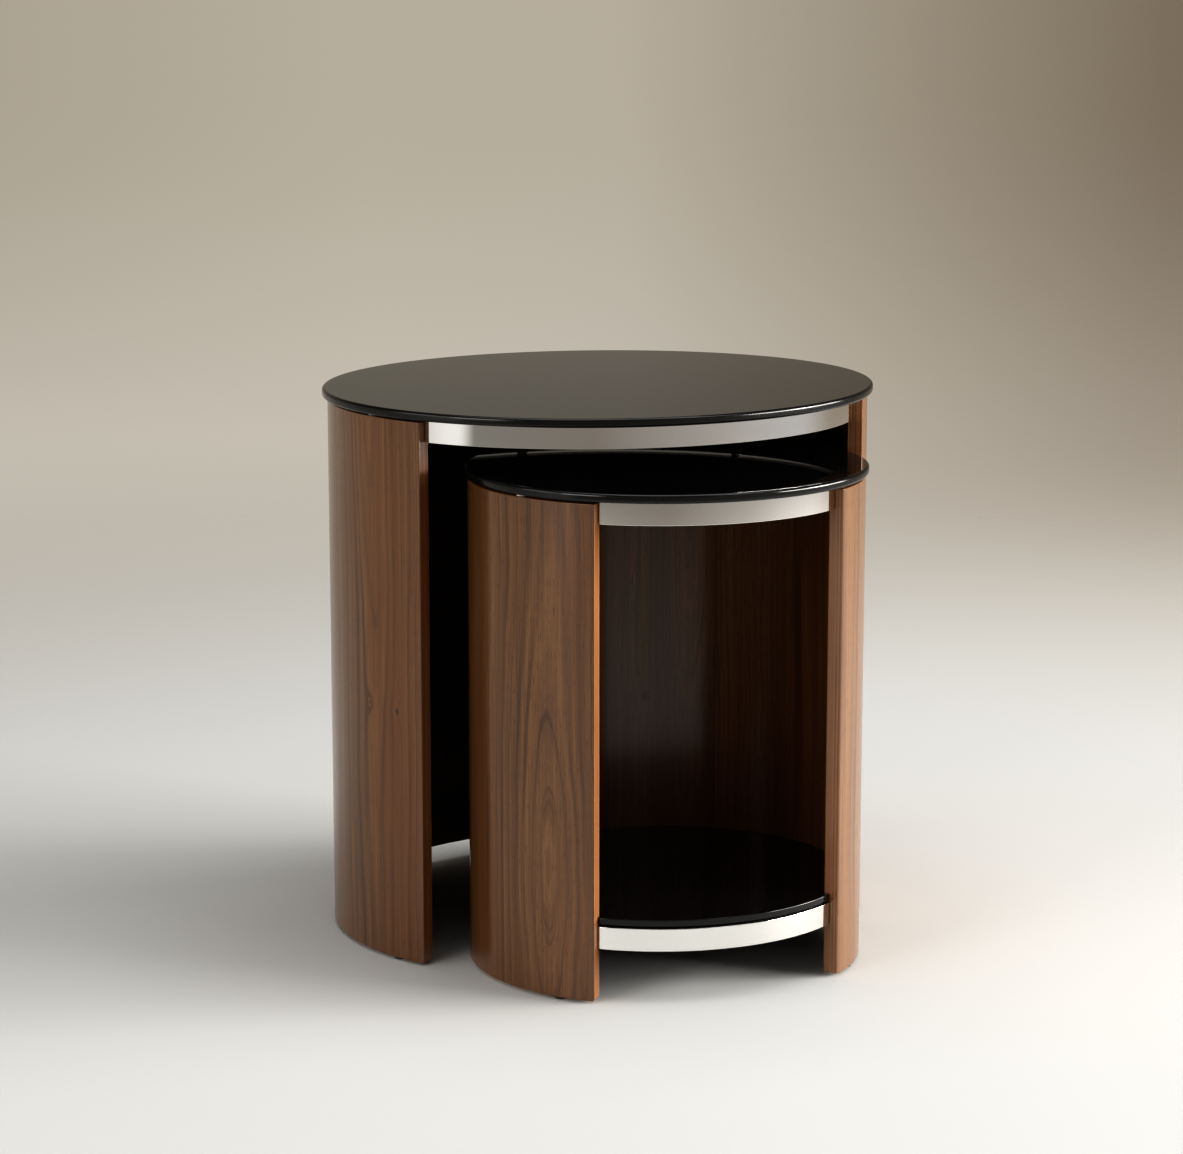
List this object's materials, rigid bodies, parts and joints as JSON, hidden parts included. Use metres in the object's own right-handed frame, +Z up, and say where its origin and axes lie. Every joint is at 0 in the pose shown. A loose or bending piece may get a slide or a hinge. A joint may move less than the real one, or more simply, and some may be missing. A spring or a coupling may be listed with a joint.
{
  "type": "nesting tables",
  "caption": "Oval side tables that nest: bent walnut shells open at the front, black glass tops, polished front bands, and a low shelf in the smaller, which slides out.",
  "frame": {"origin": "on the floor, under the middle of the pair's bounding box with the small table drawn out as at rest", "axes": "+Z up, -Y out of the open fronts, +X to the right as seen from the front; the small table slides out along -Y"},
  "size_m": [0.51, 0.548, 0.5],
  "materials": {
    "walnut_veneer": "satin lacquered walnut veneer, grain upright",
    "walnut_rail": "satin lacquered bent rail",
    "beech_tongue": "bare beech",
    "black_glass": "tempered glass, painted black underneath, edge polished",
    "polished_band": "mirror-polished steel strip",
    "black_board": "black laminate on board",
    "zinc_screw": "zinc plated",
    "zinc_bracket": "zinc plated",
    "clear_pad": "clear silicone",
    "nylon_glide": "dark nylon"
  },
  "bodies": {
    "large_table": {"large_top_glass": "black_glass", "large_left_panel": "walnut_veneer", "large_right_panel": "walnut_veneer", "large_back_panel": "walnut_veneer", "large_left_tongue": "beech_tongue", "large_right_tongue": "beech_tongue", "large_front_rail": "walnut_rail", "large_front_band": "polished_band", "large_rail_screw_1": "zinc_screw", "large_rail_screw_2": "zinc_screw", "large_rail_screw_3": "zinc_screw", "large_rail_screw_4": "zinc_screw", "large_top_pad_1": "clear_pad", "large_top_pad_2": "clear_pad", "large_top_pad_3": "clear_pad", "large_top_pad_4": "clear_pad", "large_top_pad_5": "clear_pad", "large_top_pad_6": "clear_pad", "large_glide_1": "nylon_glide", "large_glide_2": "nylon_glide", "large_glide_3": "nylon_glide", "large_glide_4": "nylon_glide"},
    "small_table": {"small_top_glass": "black_glass", "small_left_panel": "walnut_veneer", "small_right_panel": "walnut_veneer", "small_back_panel": "walnut_veneer", "small_left_tongue": "beech_tongue", "small_right_tongue": "beech_tongue", "small_front_rail": "walnut_rail", "small_front_band": "polished_band", "small_rail_screw_1": "zinc_screw", "small_rail_screw_2": "zinc_screw", "small_rail_screw_3": "zinc_screw", "small_rail_screw_4": "zinc_screw", "small_top_pad_1": "clear_pad", "small_top_pad_2": "clear_pad", "small_top_pad_3": "clear_pad", "small_top_pad_4": "clear_pad", "small_top_pad_5": "clear_pad", "small_top_pad_6": "clear_pad", "small_glide_1": "nylon_glide", "small_glide_2": "nylon_glide", "small_glide_3": "nylon_glide", "small_glide_4": "nylon_glide", "small_shelf_board": "black_board", "small_shelf_glass": "black_glass", "small_shelf_band": "polished_band", "small_shelf_pad_1": "clear_pad", "small_shelf_pad_2": "clear_pad", "small_shelf_pad_3": "clear_pad", "small_shelf_bracket_1": "zinc_bracket", "small_bracket_1_board_screw": "zinc_screw", "small_bracket_1_wall_screw": "zinc_screw", "small_shelf_bracket_2": "zinc_bracket", "small_bracket_2_board_screw": "zinc_screw", "small_bracket_2_wall_screw": "zinc_screw", "small_shelf_bracket_3": "zinc_bracket", "small_bracket_3_board_screw": "zinc_screw", "small_bracket_3_wall_screw": "zinc_screw"}
  },
  "joints": [
    {"name": "small_table_slide", "type": "slide", "parent": "large_table", "child": "small_table", "axis": [0, -1, 0], "range_m": [-0.185, 0.3]}
  ]
}
